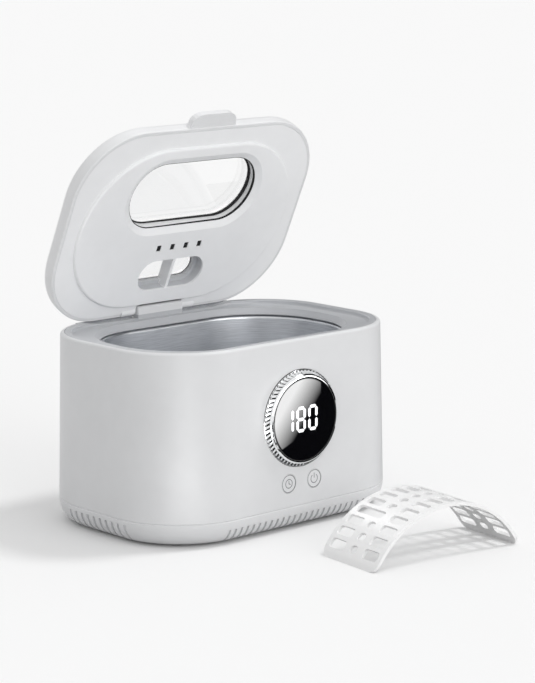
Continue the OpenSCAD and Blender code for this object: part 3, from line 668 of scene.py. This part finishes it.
def slot_shade_plugs():
    """Painted shade in the lid's four slots: dark plugs a little below the panel's face, on a plate behind it,
    stand in for the shade inside them.
    """
    mesh = bmesh.new()
    for i in range(SLOT_COUNT):
        x = (i - (SLOT_COUNT - 1) / 2) * SLOT_STEP
        block(mesh, (x, SLOT_Y), PLUG_HALF, PLUG_FACE, PLATE_FACE)
    block(mesh, (0, SLOT_Y), PLATE_HALF, PLATE_FACE, PLATE_BACK)
    mesh_piece("slot_shade_plugs", opened(mesh), "lid", "seal_black")


def rear_seals():
    """Rubber strips in the dip of the rear rim, beside the lug and just clear of the lid's swing. Their dark
    grey is partly painted shade under the lid.
    """
    mesh = bmesh.new()
    for side in (-1, 1):
        rows = [[mesh.verts.new((side * x, y, z)) for y, z in REAR_SEAL_SECTION] for x in REAR_SEAL_SPAN]
        loft(mesh, rows, False)
    mesh_piece("rear_seals", mesh, "housing", "gasket_rubber")


def seam_strip(steps=24):
    """A strip that closes the seam between the shell and the base, a little inside their walls."""
    near, far = SEAM_INSETS
    low, high = SEAM_HEIGHTS
    section = ((near, low), (near, high), (far, high), (far, low))
    across, along = (side / 2 - CORNER_RADIUS for side in BODY_PLAN)
    mesh = bmesh.new()
    rows = []
    for quarter, (right, back) in enumerate(((1, 1), (-1, 1), (-1, -1), (1, -1))):
        centre = Vector((right * across, back * along))
        for i in range(steps + 1):
            angle = math.pi / 2 * (quarter + i / steps)
            out = Vector((math.cos(angle), math.sin(angle)))
            rows.append([
                mesh.verts.new((*(centre + out * (CORNER_RADIUS - inset)), height))
                for inset, height in section])
    loft(mesh, rows, True)
    mesh_piece("seam_strip", mesh, "housing", "shell_white")


def make_camera():
    """The camera at the photograph's place."""
    data = bpy.data.cameras.new("photo_camera")
    data.sensor_width = SENSOR
    data.lens = FOCAL_PIXELS * SENSOR / FRAME_HEIGHT
    data.clip_end = CLIP_END
    camera = add_object("photo_camera", data)
    aim = (CAMERA_TARGET - CAMERA_PLACE).to_track_quat("-Z", "Y").to_matrix().to_4x4()
    camera.matrix_world = Matrix.Translation(CAMERA_PLACE) @ aim @ Matrix.Rotation(CAMERA_ROLL, 4, "Z")
    bpy.context.scene.camera = camera


def sun(name, source, strength, width):
    """A broad lamp that shines from a direction, some degrees across."""
    data = bpy.data.lights.new(name, "SUN")
    data.energy = strength
    data.angle = math.radians(width)
    lamp = add_object(name, data)
    lamp.rotation_mode = "QUATERNION"
    lamp.rotation_quaternion = Vector(source).to_track_quat("Z", "Y")


def seen_rays(flow):
    """1 for the rays of the camera, of mirrors and of clear panes, which see the pale studio."""
    seen = flow.node("LightPath", None, None, "Is Camera Ray")
    for name in ("Is Glossy Ray", "Is Transmission Ray"):
        seen = flow.maths("MAXIMUM", seen, flow.node("LightPath", None, None, name))
    return seen


def make_world():
    """Even light from all round; the camera, mirrors and clear panes see the pale background."""
    world = bpy.data.worlds.new("studio")
    bpy.context.scene.world = world
    world.use_nodes = True
    world.node_tree.nodes.clear()
    flow = Flow(world.node_tree)
    strength = AMBIENT + seen_rays(flow) * (BACKGROUND - AMBIENT)
    light = flow.node("Background", None, {"Color": (1, 1, 1, 1), "Strength": strength})
    flow.node("OutputWorld", None, {"Surface": light})


def stage_plane(name, size, material):
    """A flat rectangle of the studio, about its own middle."""
    mesh = bmesh.new()
    half = [side / 2 for side in size]
    mesh.faces.new([mesh.verts.new((x, y, 0)) for x, y in corners((0, 0), half)])
    plane = add_mesh(name, mesh, material)
    return plane


def make_floor():
    """A wide pale floor that takes the shadows; its underside lets the light and the eye through."""
    material, flow = new_material("floor_paper")
    grey, white = ((level, level, level, 1) for level in (FLOOR_BOUNCE, FLOOR_WHITE))
    paper = flow.node("BsdfDiffuse", None, {"Color": seen_rays(flow).mixed(grey, white)})
    under = flow.node("NewGeometry", None, None, "Backfacing")
    output_surface(flow, flow.node("MixShader", None, {0: under, 1: paper, 2: flow.node("BsdfTransparent")}))
    stage_plane("floor", (FLOOR_SIDE, FLOOR_SIDE), material)


def mirror_card(name, size, material, matrix):
    """A card at a place in the studio that only mirrors see."""
    card = stage_plane(name, size, material)
    card.matrix_world = matrix
    card.visible_camera = False
    card.visible_diffuse = False
    card.visible_transmission = False
    card.visible_shadow = False


def upright_card(name, centre, target, size, material):
    """A card for mirrors that faces a point, with its own Y axis up."""
    facing = (Vector(target) - Vector(centre)).to_track_quat("Z", "Y")
    mirror_card(name, size, material, Matrix.Translation(centre) @ facing.to_matrix().to_4x4())


def floor_card(name, spot, size, turn, material):
    """A card for mirrors that lies just above the floor, turned by some degrees."""
    lift = Matrix.Translation((*spot, CARD_LIFT))
    mirror_card(name, size, material, lift @ Matrix.Rotation(math.radians(turn), 4, "Z"))


def glow_card(strength, level=None):
    """Unlit card stock that gives off a strength, or a level between 0 and 1 of it."""
    material, flow = new_material("card")
    colour = level(flow) if level else (1, 1, 1, 1)
    output_surface(flow, flow.node("Emission", None, {"Color": colour, "Strength": strength}))
    return material


def window_light(flow):
    """The soft light that the lens mirrors: it fades to one side, cut by an upright and a slanting edge."""
    x, y = place(flow).axes()[:2]
    across = x * (-1 / LENS_RADIUS)
    up = y * (1 / LENS_RADIUS)
    level = (GLARE_LEVEL + up * GLARE_UP - across * GLARE_ACROSS).limited(0.0, 1.0)
    upright = 1 - across.clamped(*UPRIGHT_EDGE)
    slant = (up - across * SLANT).clamped(*SLANT_EDGE)
    inside = 1 - (across * across + up * up).clamped(*SQUARED_RIM)
    return level * upright * slant * inside


def make_cards():
    """Cards round the studio that show in the bright ring and in the dark lens."""
    low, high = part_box("display_lens")
    middle = Vector(((low.x + high.x) / 2, low.y, (low.z + high.z) / 2))
    sight = CAMERA_PLACE - middle
    mirrored = Vector((-sight.x, sight.y, -sight.z))
    board = middle + mirrored * (BOARD_DISTANCE / -mirrored.y)
    behind = board + Vector((0, 1, 0))
    lens_size = (2 * LENS_RADIUS, 2 * LENS_RADIUS)
    upright_card("lens_board", board, behind, lens_size, glow_card(LENS_GLARE, window_light))
    dark = glow_card(0.0)
    upright_card("right_flag", *RIGHT_FLAG, dark)
    floor_card("front_flag", *FRONT_FLAG, dark)
    floor_card("side_flag", *SIDE_FLAG, dark)
    floor_card("corner_strip", *CORNER_STRIP, glow_card(CORNER_GLOW))


make_camera()
make_world()
make_floor()
make_cards()
sun("key", *KEY_LAMP)
sun("fill", *FILL_LAMP)
make_finishes()
dress_nodes()
clock_sign()
power_sign()
window_seals()
slot_shade_plugs()
rear_seals()
seam_strip()

bpy.context.scene.view_settings.view_transform = "Standard"
